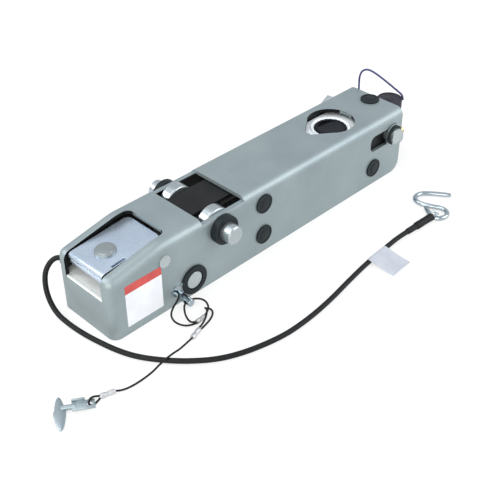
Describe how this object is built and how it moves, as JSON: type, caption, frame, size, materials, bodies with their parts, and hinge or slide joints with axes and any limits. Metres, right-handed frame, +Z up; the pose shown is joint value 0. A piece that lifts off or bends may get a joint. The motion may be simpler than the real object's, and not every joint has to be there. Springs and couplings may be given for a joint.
{
  "type": "hydraulic surge brake actuator",
  "caption": "Zinc plated trailer surge brake actuator: a channel-shaped ball coupler sliding over a black inner frame, with latch, rollers, master cylinder and breakaway cable.",
  "frame": {"origin": "middle of the nose's front rim, on the plane it rests on", "axes": "+X from the nose to the rear, +Y to the side with the cable grommet, +Z up"},
  "size_m": [0.641, 0.2511, 0.1202],
  "materials": {
    "shell_steel": "satin",
    "latch_steel": "satin",
    "pin_steel": "satin",
    "roller_steel": "satin",
    "hook_steel": "gloss",
    "black_paint": "satin",
    "cast_clamp": "matte",
    "cast_cylinder": "matte",
    "black_plastic": "matte",
    "coil_plastic": "satin",
    "black_rubber": "matte",
    "blue_lead": "satin",
    "tag_plastic": "satin",
    "ferrule_metal": "satin",
    "brass": "satin"
  },
  "bodies": {
    "shell": {"outer_shell": "shell_steel", "side_plugs": "black_plastic", "top_plug": "black_plastic", "front_cross_pin": "pin_steel", "front_pin_collars": "black_plastic", "lower_pin": "pin_steel", "lower_pin_rings": "black_plastic", "ball_socket": "latch_steel", "latch_pin": "pin_steel", "push_bracket": "black_paint", "push_rod": "pin_steel", "cable_grommet": "black_rubber", "breakaway_cable": "black_rubber", "cable_sleeve": "black_rubber", "safety_hook": "hook_steel", "cable_tag": "tag_plastic", "lock_pin": "hook_steel", "tether_tab": "hook_steel", "tether_cable": "black_rubber", "tether_loop": "black_rubber", "tether_ferrule": "ferrule_metal", "lanyard_loop_eye": "black_rubber", "lanyard": "black_rubber", "lanyard_key_eye": "black_rubber", "lanyard_ferrules": "ferrule_metal", "lockout_key": "hook_steel"},
    "frame": {"inner_frame": "black_paint", "rear_pin": "pin_steel", "rear_pin_washers": "pin_steel", "rear_pin_clip": "black_plastic", "master_cylinder": "cast_cylinder", "reservoir_cover": "latch_steel", "outlet_adaptor": "pin_steel", "brass_union": "brass", "solenoid": "coil_plastic", "solenoid_lead": "blue_lead"},
    "roller_near": {"roller_near": "roller_steel"},
    "roller_far": {"roller_far": "roller_steel"},
    "latch": {"latch_plate": "latch_steel", "latch_button": "latch_steel"},
    "clamp": {"ball_clamp": "cast_clamp"},
    "cap": {"fill_cap": "black_plastic"}
  },
  "joints": [
    {"name": "surge_slide", "type": "slide", "parent": "shell", "child": "frame", "axis": [-1, 0, 0], "range_m": [0, 0.032], "deforming": ["solenoid_lead"]},
    {"name": "near_roller_spin", "type": "hinge", "parent": "shell", "child": "roller_near", "pos_m": [0.155, 0, 0.068], "axis": [0, 1, 0], "continuous": true},
    {"name": "far_roller_spin", "type": "hinge", "parent": "shell", "child": "roller_far", "pos_m": [0.155, 0, 0.068], "axis": [0, 1, 0], "continuous": true},
    {"name": "latch_hinge", "type": "hinge", "parent": "shell", "child": "latch", "pos_m": [0.071, 0, 0.068], "axis": [0, 1, 0], "range_deg": [0, 40]},
    {"name": "clamp_hinge", "type": "hinge", "parent": "shell", "child": "clamp", "pos_m": [0.1105, 0, 0.021], "axis": [0, 1, 0], "range_deg": [-6, 0]},
    {"name": "cap_turn", "type": "hinge", "parent": "frame", "child": "cap", "pos_m": [0.388, 0, 0.0788], "axis": [0, 0, 1], "continuous": true}
  ],
  "couplings": [
    {"joint": "clamp_hinge", "follows": "latch_hinge", "ratio": -0.15}
  ]
}
